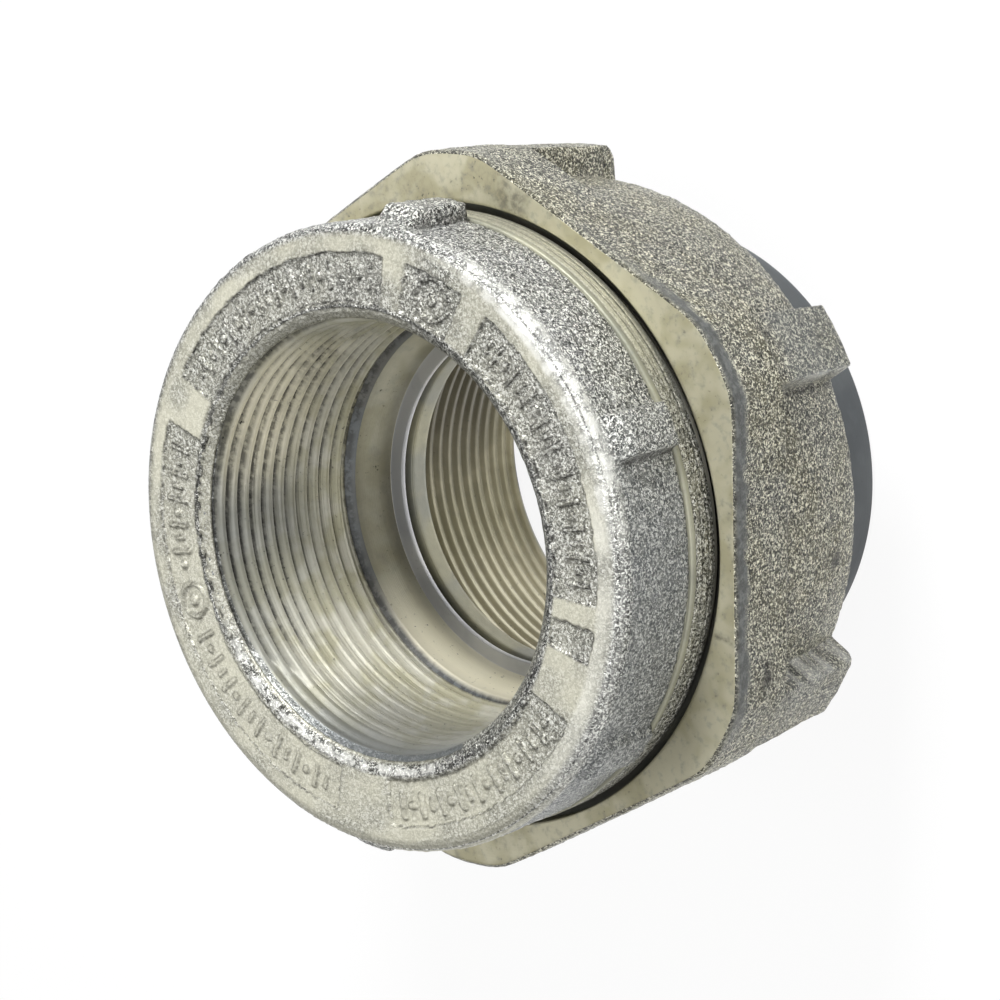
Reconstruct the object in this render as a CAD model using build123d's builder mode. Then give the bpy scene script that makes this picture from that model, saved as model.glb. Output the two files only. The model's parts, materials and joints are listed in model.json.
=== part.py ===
"""Conduit union for rigid metal conduit, two-inch trade size, female thread at both ends.

Three pieces on one axis, +Z, standing on the tail hub's flat end:
tail hub below, ring nut around the middle, front hub on top with its cast face up.
All sizes in millimetres. Fine threads, cast grain and raised marks belong to the visual model.
"""

import os

from build123d import *

# Heights above the tail hub's end
TOTAL_LENGTH = 67.5
BAND_TOP = 53.2
BAND_BOTTOM = 48.2
NUT_TOP = 48.6
NUT_CREASE = 37.0
NUT_BOTTOM = 17.7
FRONT_SKIRT = 28.9
TAIL_SHOULDER = 27.3
TAIL_FLANGE_BOTTOM = 23.0
NUT_SHOULDER = 22.6

# Pipe thread, taper 1 in 16, given as plain walls at the crest
PIPE_CREST_RADIUS = 28.28
MOUTH_DEPTH = 2.02
PIPE_MOUTH_RADIUS = PIPE_CREST_RADIUS + MOUTH_DEPTH
FRONT_THREAD_DEPTH = 26.6
TAIL_THREAD_DEPTH = 27.2

# Tail hub
TAIL_WALL = 6.42
TAIL_BARREL_RADIUS = PIPE_CREST_RADIUS + TAIL_WALL
TAIL_FLANGE_WIDTH = 3.7
TAIL_FLANGE_RADIUS = TAIL_BARREL_RADIUS + TAIL_FLANGE_WIDTH
TAIL_EDGE = 0.6

# Front hub, its male thread clear of the flange and its band standing over the thread
UNION_THREAD_RADIUS = TAIL_FLANGE_RADIUS + 1.0
SEAT_WALL = 4.9
SEAT_OUTER_RADIUS = UNION_THREAD_RADIUS - SEAT_WALL
BAND_RADIUS = UNION_THREAD_RADIUS + 1.8
BARREL_RADIUS = BAND_RADIUS - 0.2
RIM_ROUND = 1.8
RIM_RADIUS = BARREL_RADIUS - RIM_ROUND
THROAT_TOP_RADIUS = PIPE_CREST_RADIUS - 1.18
THROAT_TOP = TOTAL_LENGTH - FRONT_THREAD_DEPTH - 1.4
THROAT_RADIUS = PIPE_CREST_RADIUS - 2.48
THROAT_LENGTH = 6.1
LIP_RADIUS = THROAT_RADIUS - 2.1
LIP_TOP = THROAT_TOP - THROAT_LENGTH
LIP_THICKNESS = 0.8
LIP_BOTTOM = LIP_TOP - LIP_THICKNESS
GRIP_LUGS = 6
GRIP_LUG_HEIGHT = 2.3
GRIP_LUG_RADIUS = BARREL_RADIUS + GRIP_LUG_HEIGHT
GRIP_LUG_WIDTH = 7.2
GRIP_LUG_TOP = 64.8
GRIP_LUG_ANGLE = 23.7
PANEL_MARGIN = 1.2
PANEL_INNER_RADIUS = PIPE_MOUTH_RADIUS + PANEL_MARGIN
PANEL_OUTER_RADIUS = RIM_RADIUS - PANEL_MARGIN - 0.5
PANEL_DEPTH = 0.5

# Sunken panels of the face, each from one angle to another in degrees
PANELS = (
    (-38.0, 29.0),
    (-58.5, -43.5),
    (-125.5, -65.0),
    (-137.0, -130.0),
    (-206.0, -149.5),
    (39.5, 140.0),
)

# Ring nut, clear of the hub's thread and band and of the tail's barrel
NUT_THREAD_RADIUS = UNION_THREAD_RADIUS + 0.3
NUT_MOUTH_RADIUS = BAND_RADIUS + 0.9
NUT_HOLE_RADIUS = TAIL_BARREL_RADIUS + 0.5
NUT_MOUTH_WALL = 2.5
HEX_APOTHEM = NUT_MOUTH_RADIUS + NUT_MOUTH_WALL
CORNER_HEIGHT = 3.85
CORNER_RADIUS = HEX_APOTHEM + CORNER_HEIGHT
DOME_END_RADIUS = NUT_THREAD_RADIUS + 2.9
RIB_WIDTH = 11.8
RIB_BOTTOM = 19.4
RIB_ROUND = 2.0
RIB_ROOT_RADIUS = NUT_HOLE_RADIUS + 0.8
RIB_REACH = CORNER_RADIUS + 3.5
NUT_BEVEL = 0.5

# Nose of the tail hub, short of the front hub's lip by the joint's last stretch of travel
SEAT_GAP = 1.6
TAIL_NOSE_TOP = LIP_BOTTOM - SEAT_GAP
TAIL_NOSE_RADIUS = LIP_RADIUS + 2.3
TAIL_LIP_RADIUS = LIP_RADIUS + 0.2
TAIL_LIP_LENGTH = 3.1


os.makedirs("parts", exist_ok=True)


# Front hub
with BuildPart() as front_hub:
    thread_end = TOTAL_LENGTH - FRONT_THREAD_DEPTH
    with BuildSketch(Plane.XZ):
        with BuildLine():
            rim = Polyline(
                (PIPE_CREST_RADIUS, TOTAL_LENGTH - MOUTH_DEPTH),
                (PIPE_MOUTH_RADIUS, TOTAL_LENGTH),
                (RIM_RADIUS, TOTAL_LENGTH),
            )
            RadiusArc(
                (RIM_RADIUS, TOTAL_LENGTH),
                (BARREL_RADIUS, TOTAL_LENGTH - RIM_ROUND),
                RIM_ROUND,
            )
            Polyline(
                (BARREL_RADIUS, TOTAL_LENGTH - RIM_ROUND),
                (BARREL_RADIUS, BAND_TOP + 0.4),
                (BARREL_RADIUS - 0.4, BAND_TOP),
                (BAND_RADIUS, BAND_TOP - 0.4),
                (BAND_RADIUS, BAND_BOTTOM),
                (UNION_THREAD_RADIUS, BAND_BOTTOM),
                (UNION_THREAD_RADIUS, FRONT_SKIRT + 1.2),
                (UNION_THREAD_RADIUS - 1.2, FRONT_SKIRT),
                (SEAT_OUTER_RADIUS, FRONT_SKIRT),
                (TAIL_NOSE_RADIUS, LIP_BOTTOM),
                (LIP_RADIUS, LIP_BOTTOM),
                (LIP_RADIUS, LIP_TOP),
                (THROAT_RADIUS, LIP_TOP),
                (THROAT_TOP_RADIUS, THROAT_TOP),
                (PIPE_CREST_RADIUS, thread_end),
                (PIPE_CREST_RADIUS, TOTAL_LENGTH - MOUTH_DEPTH),
            )
        make_face()
    revolve(axis=Axis.Z)

    # Grip lugs around the cast barrel
    with BuildSketch(Plane.XY.offset(BAND_TOP + 0.4)):
        with PolarLocations(0, GRIP_LUGS, start_angle=GRIP_LUG_ANGLE):
            Polygon(
                (BARREL_RADIUS - 1.0, -GRIP_LUG_WIDTH / 2 - 0.8),
                (GRIP_LUG_RADIUS, -GRIP_LUG_WIDTH / 2 + 0.6),
                (GRIP_LUG_RADIUS, GRIP_LUG_WIDTH / 2 - 0.6),
                (BARREL_RADIUS - 1.0, GRIP_LUG_WIDTH / 2 + 0.8),
                align=None,
            )
    extrude(amount=GRIP_LUG_TOP - BAND_TOP - 0.4)

    # Lug ends sloped down to the barrel, by turning the part inside a plain envelope
    with BuildSketch(Plane.XZ):
        Polygon(
            (0, FRONT_SKIRT - 1),
            (GRIP_LUG_RADIUS + 1, FRONT_SKIRT - 1),
            (GRIP_LUG_RADIUS + 1, GRIP_LUG_TOP - 2.4),
            (BARREL_RADIUS, GRIP_LUG_TOP),
            (BARREL_RADIUS, TOTAL_LENGTH + 1),
            (0, TOTAL_LENGTH + 1),
            align=None,
        )
    revolve(axis=Axis.Z, mode=Mode.INTERSECT)

    # Sunken panels of the cast face
    for start, end in PANELS:
        with BuildSketch(Plane.XZ.rotated((0, 0, start))):
            Polygon(
                (PANEL_INNER_RADIUS, TOTAL_LENGTH - PANEL_DEPTH),
                (PANEL_OUTER_RADIUS, TOTAL_LENGTH - PANEL_DEPTH),
                (PANEL_OUTER_RADIUS, TOTAL_LENGTH + 1),
                (PANEL_INNER_RADIUS, TOTAL_LENGTH + 1),
                align=None,
            )
        revolve(axis=Axis.Z, revolution_arc=end - start, mode=Mode.SUBTRACT)
front_hub.part.label = "front_hub"


# Ring nut
with BuildPart() as ring_nut:
    # Hexagon at the front
    with BuildSketch(Plane.XY.offset(NUT_CREASE)):
        RegularPolygon(HEX_APOTHEM, 6, major_radius=False, rotation=30)
    extrude(amount=NUT_TOP - NUT_CREASE)

    # Round body that closes towards the rear
    with BuildSketch(Plane.XZ):
        with BuildLine():
            Line((0, NUT_BOTTOM), (DOME_END_RADIUS - 0.6, NUT_BOTTOM))
            Line((DOME_END_RADIUS - 0.6, NUT_BOTTOM), (DOME_END_RADIUS, NUT_BOTTOM + 0.6))
            ThreePointArc(
                (DOME_END_RADIUS, NUT_BOTTOM + 0.6),
                (HEX_APOTHEM - 0.4, (NUT_BOTTOM + NUT_CREASE) / 2 + 0.6),
                (HEX_APOTHEM, NUT_CREASE),
            )
            Polyline(
                (HEX_APOTHEM, NUT_CREASE),
                (HEX_APOTHEM - 0.2, NUT_CREASE + 1),
                (0, NUT_CREASE + 1),
                (0, NUT_BOTTOM),
            )
        make_face()
    revolve(axis=Axis.Z)

    # Ribs behind the six corners
    with BuildSketch(Plane.XY.offset(RIB_BOTTOM)):
        with PolarLocations(0, 6, start_angle=30):
            Polygon(
                (RIB_ROOT_RADIUS, -RIB_WIDTH / 2),
                (RIB_REACH, -RIB_WIDTH / 2),
                (RIB_REACH, RIB_WIDTH / 2),
                (RIB_ROOT_RADIUS, RIB_WIDTH / 2),
                align=None,
            )
    extrude(amount=NUT_TOP - RIB_BOTTOM)

    # Corners turned to one radius, rounded at the rear and bevelled at the front
    with BuildSketch(Plane.XZ):
        with BuildLine():
            Polyline(
                (0, NUT_BOTTOM),
                (DOME_END_RADIUS + 1, NUT_BOTTOM),
                (CORNER_RADIUS - RIB_ROUND, RIB_BOTTOM),
            )
            RadiusArc(
                (CORNER_RADIUS - RIB_ROUND, RIB_BOTTOM),
                (CORNER_RADIUS, RIB_BOTTOM + RIB_ROUND),
                -RIB_ROUND,
            )
            Polyline(
                (CORNER_RADIUS, RIB_BOTTOM + RIB_ROUND),
                (CORNER_RADIUS, NUT_TOP - NUT_BEVEL),
                (CORNER_RADIUS - NUT_BEVEL, NUT_TOP),
                (0, NUT_TOP),
                (0, NUT_BOTTOM),
            )
        make_face()
    revolve(axis=Axis.Z, mode=Mode.INTERSECT)

    # Mouth, thread wall, cavity for the tail's flange and the hole around its barrel
    with BuildSketch(Plane.XZ):
        Polygon(
            (0, NUT_TOP + 1),
            (NUT_MOUTH_RADIUS, NUT_TOP + 1),
            (NUT_MOUTH_RADIUS, NUT_TOP - 2.6),
            (NUT_THREAD_RADIUS, NUT_TOP - 3.8),
            (NUT_THREAD_RADIUS, NUT_SHOULDER),
            (NUT_HOLE_RADIUS, NUT_SHOULDER),
            (NUT_HOLE_RADIUS, NUT_BOTTOM - 1),
            (0, NUT_BOTTOM - 1),
            align=None,
        )
    revolve(axis=Axis.Z, mode=Mode.SUBTRACT)
ring_nut.part.label = "ring_nut"


# Tail hub
with BuildPart() as tail_hub:
    thread_top = TAIL_THREAD_DEPTH
    with BuildSketch(Plane.XZ):
        Polygon(
            (PIPE_MOUTH_RADIUS, 0),
            (TAIL_BARREL_RADIUS - TAIL_EDGE, 0),
            (TAIL_BARREL_RADIUS, TAIL_EDGE),
            (TAIL_BARREL_RADIUS, TAIL_FLANGE_BOTTOM),
            (TAIL_FLANGE_RADIUS, TAIL_FLANGE_BOTTOM),
            (TAIL_FLANGE_RADIUS, TAIL_SHOULDER),
            (SEAT_OUTER_RADIUS, TAIL_SHOULDER),
            (TAIL_NOSE_RADIUS, TAIL_NOSE_TOP),
            (TAIL_LIP_RADIUS, TAIL_NOSE_TOP),
            (TAIL_LIP_RADIUS, TAIL_NOSE_TOP - TAIL_LIP_LENGTH),
            (PIPE_CREST_RADIUS, thread_top),
            (PIPE_CREST_RADIUS, MOUTH_DEPTH),
            align=None,
        )
    revolve(axis=Axis.Z)
tail_hub.part.label = "tail_hub"


export_step(front_hub.part, "parts/front_hub.step")
export_step(ring_nut.part, "parts/ring_nut.step")
export_step(tail_hub.part, "parts/tail_hub.step")
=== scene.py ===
"""Conduit union dressed as its photograph shows it: cast, zinc-coated iron with turned faces and threads.

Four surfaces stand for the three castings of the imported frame. Each is a closed profile carried
round the axis Z, with its radius and height changed by formulas of the angle.
"""

import json
import math
from functools import cache

import bpy
import numpy as np
from bpy.props import FloatProperty, FloatVectorProperty, IntProperty, PointerProperty
from mathutils import Matrix, Vector

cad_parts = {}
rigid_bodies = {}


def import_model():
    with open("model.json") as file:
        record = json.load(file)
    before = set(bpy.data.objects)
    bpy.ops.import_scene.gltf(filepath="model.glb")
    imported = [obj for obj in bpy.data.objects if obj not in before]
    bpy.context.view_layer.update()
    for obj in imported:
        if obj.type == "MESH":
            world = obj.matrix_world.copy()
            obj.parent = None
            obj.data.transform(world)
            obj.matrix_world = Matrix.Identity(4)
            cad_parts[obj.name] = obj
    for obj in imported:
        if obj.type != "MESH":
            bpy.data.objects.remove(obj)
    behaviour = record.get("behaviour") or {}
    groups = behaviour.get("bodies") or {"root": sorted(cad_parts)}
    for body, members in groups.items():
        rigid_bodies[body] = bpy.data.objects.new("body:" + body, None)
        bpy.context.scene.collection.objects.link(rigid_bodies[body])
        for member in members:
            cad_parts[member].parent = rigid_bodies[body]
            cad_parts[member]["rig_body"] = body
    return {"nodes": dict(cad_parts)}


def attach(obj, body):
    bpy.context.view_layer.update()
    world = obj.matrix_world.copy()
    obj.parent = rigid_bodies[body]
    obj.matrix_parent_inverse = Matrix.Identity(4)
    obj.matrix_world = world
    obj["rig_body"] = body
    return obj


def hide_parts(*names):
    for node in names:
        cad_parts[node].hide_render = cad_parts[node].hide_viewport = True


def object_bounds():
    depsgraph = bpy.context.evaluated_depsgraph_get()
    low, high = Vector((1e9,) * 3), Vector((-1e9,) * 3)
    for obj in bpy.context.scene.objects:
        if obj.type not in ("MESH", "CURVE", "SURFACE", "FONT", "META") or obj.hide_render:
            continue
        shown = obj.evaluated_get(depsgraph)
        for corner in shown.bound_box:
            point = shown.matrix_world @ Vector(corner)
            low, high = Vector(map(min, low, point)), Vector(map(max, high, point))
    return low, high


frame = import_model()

bl_info = {
    "name": "Conduit union",
    "version": (1, 0, 0),
    "blender": (4, 5, 0),
    "location": "3D View > Sidebar > Union",
    "description": "Builds a cast and turned conduit union on its packed frame",
    "category": "Add Mesh",
}

MM = 0.001
CAD_LOW, CAD_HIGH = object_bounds()
TOP = CAD_HIGH.z / MM
TURN = 2 * math.pi


# Sizes and colours


def length(label, note, value):
    """A size property in metres, from a value in millimetres."""
    return FloatProperty(
        name=label, description=note, default=value * MM, unit="LENGTH", precision=5
    )


def tone(red, green, blue):
    """A display colour of 0 to 255 a channel as the linear colour that renders as it."""
    channels = (c / 255 for c in (red, green, blue))
    return tuple(
        c / 12.92 if c <= 0.04045 else ((c + 0.055) / 1.055) ** 2.4 for c in channels
    )


def colour(label, note, red, green, blue):
    """A colour property, from a display colour of 0 to 255 a channel."""
    return FloatVectorProperty(
        name=label, description=note, default=tone(red, green, blue), subtype="COLOR",
        size=3, min=0, max=1,
    )


class UnionThreadSizes(bpy.types.PropertyGroup):
    pipe_pitch: length("Pipe pitch", "Advance of the pipe thread in one turn", 2.2088)
    pipe_crest: length("Pipe crest radius", "Crest radius of the pipe thread at its mouth", 28.28)
    pipe_depth: length("Pipe thread depth", "Radial depth of the pipe thread", 1.35)
    pipe_taper: FloatProperty(
        name="Pipe taper", description="Loss of radius for each unit of depth", default=1 / 32
    )
    joint_lead: length("Joint lead", "Advance of the nut's thread in one turn", 2.11667)
    joint_depth: length("Joint thread depth", "Radial depth of the nut's thread", 1.15)


class UnionHubSizes(bpy.types.PropertyGroup):
    rim: length("Rim radius", "Radius at which the face starts to round off", 39.2)
    barrel: length("Barrel radius", "Radius of the cast barrel", 41.0)
    mouth: length("Mouth radius", "Outer radius of the countersink", 30.3)
    band: length("Band radius", "Radius of the turned band", 41.2)
    joint_thread: length("Joint thread radius", "Crest radius of the male joint thread", 39.4)
    lugs: IntProperty(name="Lugs", description="Number of grip lugs", default=6, min=0)
    lug_height: length("Lug height", "How far a grip lug stands off the barrel", 2.3)
    lug_width: length("Lug width", "Width of a grip lug", 7.2)
    mark_height: length("Mark height", "How far the marks stand over their panel", 0.42)
    panel_depth: length("Panel depth", "How deep the panels of the face are sunk", 0.42)


class UnionNutSizes(bpy.types.PropertyGroup):
    flat: length("Flat distance", "Distance from the axis to a flat of the hexagon", 44.6)
    corner: length("Corner radius", "Radius to which the hexagon's corners are turned", 48.45)
    dome: length("Rear radius", "Radius of the round body at the rear", 42.6)
    rib: length("Rib width", "Width of the ribs behind the corners", 11.8)
    thread: length("Nut thread radius", "Root radius of the nut's thread", 39.7)
    hole: length("Rear hole radius", "Radius of the hole round the tail hub", 35.2)


class UnionFinish(bpy.types.PropertyGroup):
    cast: colour("Cast zinc", "Zinc coat over the cast grain", 148, 149, 147)
    cast_pit: colour("Cast pits", "Deep places of the cast grain", 52, 52, 49)
    # Cast glints: the white of painted glints and painted highlights, standing in for light caught by the
    # metal.
    cast_glint: colour("Cast glints", "High places of the cast grain", 246, 246, 240)
    worn: colour("Worn rim", "Rubbed smooth metal of the face's rim", 192, 190, 173)
    turned: colour("Turned zinc", "Bright coat on turned places", 196, 195, 184)
    # The straw colour that turned metal takes where light is painted on it.
    lit_straw: colour("Light straw", "Straw coat where it is lightest", 247, 241, 216)
    brown: colour("Brown shade", "Dull brown of the least lit bore", 62, 58, 47)
    # Slate: a real blue grey of the coat, also the tint of painted shade on the barrel, in the bore and
    # on ribs.
    slate: colour("Slate coat", "Blue grey places of the coat", 112, 117, 120)
    # Grime: the dark of real dirt and of painted shade in grooves, by the lugs and beside the ribs.
    grime_and_shade: colour("Grime", "Dark dirt in grooves and smudges", 42, 41, 38)
    floor: colour("Floor", "Pale floor and surroundings", 250, 250, 250)


def millimetres(group, *names):
    """Sizes of a property group in millimetres."""
    return [getattr(group, name) / MM for name in names]


# Numbers and noise


def rise(value, start, end):
    """Smooth step: 0 below start, 1 above end, and three t squared less two t cubed between."""
    t = np.clip((value - start) / (end - start), 0, 1)
    return t * t * (3 - 2 * t)


def window(value, start, full, fade, end):
    """Smooth steps up from 0 at start to 1 at full, and down from 1 at fade to 0 at end."""
    return rise(value, start, full) * (1 - rise(value, fade, end))


def bell(value, middle, width):
    """The bell curve e to the minus square of (value - middle) / width."""
    return np.exp(-(((value - middle) / width) ** 2))


def wrap(degrees):
    """An angle brought to -180..180 degrees by whole turns."""
    return (degrees + 180) % 360 - 180


def lattice(u, v, cells_u, cells_v, seed):
    """Smooth noise from 0 to 1 on a lattice of random values.

    u and v run from 0 to 1. u closes on itself. Between lattice points the value follows the
    smooth step in both directions.
    """
    table = np.random.default_rng(seed).random((cells_u, cells_v + 2))
    a, b = u * cells_u, np.clip(v, 0, 1) * cells_v
    i, j = np.floor(a).astype(int), np.floor(b).astype(int)
    p, q = rise(a - i, 0, 1), rise(b - j, 0, 1)
    i0, i1 = i % cells_u, (i + 1) % cells_u
    low = table[i0, j] * (1 - p) + table[i1, j] * p
    high = table[i0, j + 1] * (1 - p) + table[i1, j + 1] * p
    return low * (1 - q) + high * q


def grain(angle, along, radius, span, size, seed):
    """Noise from -1 to 1 whose cells measure about size in both directions on the surface."""
    cells_u = max(3, round(TURN * radius / size))
    cells_v = max(1, round(span / size))
    return 2 * lattice(angle / TURN % 1, along / span, cells_u, cells_v, seed) - 1


def grains(angle, along, radius, span, *layers):
    """The sum of layers of grain, each (amount, size, seed)."""
    return sum(
        amount * grain(angle, along, radius, span, size, seed) for amount, size, seed in layers
    )


# Surfaces


DENSITY_STEPS = 14400
GROOVE_ROOT = 0.03


def profile(corners):
    """Rows of a closed profile.

    Each corner is (radius, height, rounding, steps, zone). The corner is cut back by its rounding
    along both its sides and joined through the middle of a parabola. The side to the next corner
    gets that many even steps. Gives radius and height as columns, and the outward direction and
    zone of each row.
    """
    spots = np.array([c[:2] for c in corners], float)
    rows, zones = [], []
    for k, (_, _, cut, steps, zone) in enumerate(corners):
        following = (k + 1) % len(corners)
        next_cut = corners[following][2]
        here, after, before = spots[k], spots[following], spots[k - 1]
        ahead = (after - here) / np.linalg.norm(after - here)
        back = (before - here) / np.linalg.norm(before - here)
        start = here + ahead * cut
        end = after - ahead * next_cut
        if cut:
            entry = here + back * cut
            rows.append((entry + 2 * here + start) / 4)
            zones.append(zone)
        for step in range(steps + 1 if next_cut else steps):
            rows.append(start + (end - start) * step / steps)
            zones.append(zone)
    rows = np.array(rows)
    tangent = np.roll(rows, -1, 0) - np.roll(rows, 1, 0)
    tangent /= np.linalg.norm(tangent, axis=1, keepdims=True)
    outward = np.stack((tangent[:, 1], -tangent[:, 0]), 1)
    area = np.sum(rows[:, 0] * np.roll(rows[:, 1], -1) - np.roll(rows[:, 0], -1) * rows[:, 1])
    return rows[:, :1], rows[:, 1:], outward * np.sign(area), np.array(zones)


def even_angles(count):
    """Angles of one turn in a row, evenly spaced."""
    return np.arange(count)[None, :] / count * TURN


def spread_angles(count, density):
    """Angles of one turn in a row, closer where density(angle) is high.

    The density is added up round the turn, and equal steps of that sum give the angles.
    """
    fine = np.linspace(0, TURN, DENSITY_STEPS + 1)
    total = np.concatenate(([0], np.cumsum(density((fine[1:] + fine[:-1]) / 2))))
    return np.interp(np.arange(count) / count * total[-1], total, fine)[None, :]


def revolve(name, radius, height, angle, zones, finishes, **values):
    """A closed skin from a grid of radius and height over angle: x = r cos a, y = r sin a, z.

    Rows run along the profile and columns round the axis, both closing on themselves. values are
    numbers kept at each point as attributes. The faces are turned so that they enclose a
    positive volume.
    """
    shape = np.broadcast_shapes(radius.shape, height.shape, angle.shape)
    spots = np.stack(
        [
            np.broadcast_to(part, shape)
            for part in (radius * np.cos(angle), radius * np.sin(angle), height)
        ],
        -1,
    ) * MM
    index = np.arange(shape[0] * shape[1]).reshape(shape)
    beside, below = np.roll(index, -1, 1), np.roll(index, -1, 0)
    quads = np.stack((index, beside, np.roll(beside, -1, 0), below), -1).reshape(-1, 4)
    flat = spots.reshape(-1, 3)
    a, b, c, d = (flat[quads[:, k]] for k in range(4))
    volume = np.sum(a * (np.cross(b, c) + np.cross(c, d)))
    if volume < 0:
        quads = quads[:, ::-1]
    mesh = bpy.data.meshes.new(name)
    mesh.vertices.add(len(flat))
    mesh.vertices.foreach_set("co", flat.astype(np.float32).ravel())
    mesh.loops.add(quads.size)
    mesh.loops.foreach_set("vertex_index", quads.astype(np.int32).ravel())
    mesh.polygons.add(len(quads))
    mesh.polygons.foreach_set("loop_start", np.arange(0, quads.size, 4, dtype=np.int32))
    order = {zone: k for k, zone in enumerate(finishes)}
    row_slots = np.array([order[zone] for zone in zones], np.int32)
    mesh.polygons.foreach_set("material_index", np.repeat(row_slots, shape[1]))
    mesh.polygons.foreach_set("use_smooth", np.ones(len(quads), bool))
    for label, value in values.items():
        layer = mesh.attributes.new(label, "FLOAT", "POINT")
        layer.data.foreach_set(
            "value", np.broadcast_to(value, shape).astype(np.float32).ravel()
        )
    mesh.update()
    mesh.validate()
    piece = bpy.data.objects.new(name, mesh)
    bpy.context.scene.collection.objects.link(piece)
    for finish in finishes.values():
        mesh.materials.append(finish)
    return piece


def groove(height, angle, lead, start, crest=0.12):
    """How deep a right-hand screw groove is at a point, from 0 on the crest to 1 at the root.

    The groove's centre climbs by the lead in one turn. The distance from it, in leads, gives a V
    whose crest is left flat for that share of the lead, and whose root is a narrow flat.
    """
    turns = (height - start) / lead - angle / TURN
    away = np.abs(turns - np.round(turns))
    half = (1 - crest) / 2
    return np.clip((half - away) / (half - GROOVE_ROOT), 0, 1)


# Node groups


PIT_RANGE, GLINT_RANGE = (0.5, 0.43), (0.535, 0.58)
LUMP_SHARE, BROAD_SHARE = -0.3, 0.5
FINE_MOTTLE = 0.22
SPECK_SIZE, SPREAD_SIZE, SMUDGE_SIZE = 0.55, 5.0, 1.1
BLANK = (0.5, 0.5, 0.5, 1)


def new_group(name, inputs, outputs):
    """A shader node group with inputs by name and default, and named outputs.

    A default that is a tuple makes a colour's socket, and so does the output name Color.
    """
    tree = bpy.data.node_groups.new(name, "ShaderNodeTree")
    for label, default in inputs.items():
        kind = "NodeSocketColor" if isinstance(default, tuple) else "NodeSocketFloat"
        socket = tree.interface.new_socket(label, in_out="INPUT", socket_type=kind)
        socket.default_value = default
    for label in outputs:
        kind = "NodeSocketColor" if label == "Color" else "NodeSocketFloat"
        tree.interface.new_socket(label, in_out="OUTPUT", socket_type=kind)
    return Nodes(tree), tree.nodes.new("NodeGroupInput"), tree.nodes.new("NodeGroupOutput")


def empty_tree(owner):
    """The emptied node tree of a material or world."""
    owner.use_nodes = True
    owner.node_tree.nodes.clear()
    return Nodes(owner.node_tree)


class Nodes:
    """Short ways to add and join nodes in one tree. A value is a number, a colour or a socket."""

    def __init__(self, tree):
        self.tree = tree

    def put(self, socket, value):
        if isinstance(value, bpy.types.NodeSocket):
            self.tree.links.new(value, socket)
        elif hasattr(value, "__len__") and len(value) == 3 and socket.type == "RGBA":
            socket.default_value = (*value, 1)
        else:
            socket.default_value = value

    def add(self, kind, output=0, inputs=(), **settings):
        """A node of this kind with its settings and inputs, as one of its outputs."""
        node = self.tree.nodes.new("ShaderNode" + kind)
        for key, value in settings.items():
            setattr(node, key, value)
        for key, value in dict(inputs).items():
            self.put(node.inputs[key], value)
        return node.outputs[output]

    def math(self, operation, a, b=0.0, clamp=False):
        return self.add("Math", 0, {0: a, 1: b}, operation=operation, use_clamp=clamp)

    def mix(self, factor, a, b, blend="MIX"):
        """Two colours mixed by a factor."""
        return self.add(
            "Mix", 2, {0: factor, 6: a, 7: b}, data_type="RGBA", blend_type=blend
        )

    def ramp(self, value, start, end, low=0.0, high=1.0):
        """The value carried smoothly from start..end to low..high."""
        return self.add(
            "MapRange", 0, {0: value, 1: start, 2: end, 3: low, 4: high},
            interpolation_type="SMOOTHSTEP",
        )

    def spot(self):
        """The point in millimetres in the piece's own frame."""
        place = self.add("TexCoord", "Object")
        return self.add("VectorMath", 0, {0: place, "Scale": 1 / MM}, operation="SCALE")

    def noise(self, where, size, detail=2.0, rough=0.5, stretch=0.0):
        """Noise from 0 to 1 with cells of this size in millimetres."""
        step = self.math("DIVIDE", 1.0, size)
        return self.add(
            "TexNoise", 0,
            {"Vector": where, "Scale": step, "Detail": detail, "Roughness": rough,
             "Distortion": stretch},
        )

    def group(self, tree, **inputs):
        node = self.tree.nodes.new("ShaderNodeGroup")
        node.node_tree = tree
        for key, value in inputs.items():
            self.put(node.inputs[key.replace("_", " ")], value)
        return node.outputs


@cache
def cast_grain_group():
    """Grain of a sand casting under a thin coat: heights, dark pits and bright painted glints."""
    n, start, end = new_group("Cast grain", {"Size": 0.5}, ("Height", "Pits", "Glints"))
    size = start.outputs["Size"]
    where = n.spot()
    curls = n.noise(where, size, 2.0, 0.6, 0.9)
    broad = n.noise(where, n.math("MULTIPLY", size, 4.0), 0.0)
    lumps = n.add(
        "TexVoronoi", "Distance",
        {"Vector": where, "Scale": n.math("DIVIDE", 0.9, size), "Randomness": 1.0},
        feature="F1",
    )
    height = n.math("ADD", curls, n.math("MULTIPLY", lumps, LUMP_SHARE))
    n.put(end.inputs["Height"], n.math("ADD", height, n.math("MULTIPLY", broad, BROAD_SHARE)))
    patchy = n.ramp(broad, 0.3, 0.6, 0.55, 1.0)
    n.put(end.inputs["Pits"], n.math("MULTIPLY", n.ramp(curls, *PIT_RANGE), patchy))
    n.put(end.inputs["Glints"], n.ramp(curls, *GLINT_RANGE))
    return n.tree


@cache
def coat_group():
    """Passivated zinc: a plain tone with a blush in wide soft patches and finer mottling."""
    n, start, end = new_group(
        "Coat tone",
        {"Plain": BLANK, "Blush": BLANK, "Shade": BLANK, "Patch size": 9.0, "Shade amount": 0.4},
        ("Color", "Mottle"),
    )
    where = n.spot()
    patch = start.outputs["Patch size"]
    wide = n.noise(where, patch, 2.0, 0.5, 0.4)
    mottle = n.noise(where, n.math("MULTIPLY", patch, FINE_MOTTLE), 3.0, 0.6)
    blushed = n.mix(n.ramp(wide, 0.38, 0.62), start.outputs["Plain"], start.outputs["Blush"])
    shade = n.math("MULTIPLY", n.ramp(mottle, 0.5, 0.72), start.outputs["Shade amount"])
    n.put(end.inputs["Color"], n.mix(shade, blushed, start.outputs["Shade"]))
    n.put(end.inputs["Mottle"], mottle)
    return n.tree


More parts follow.
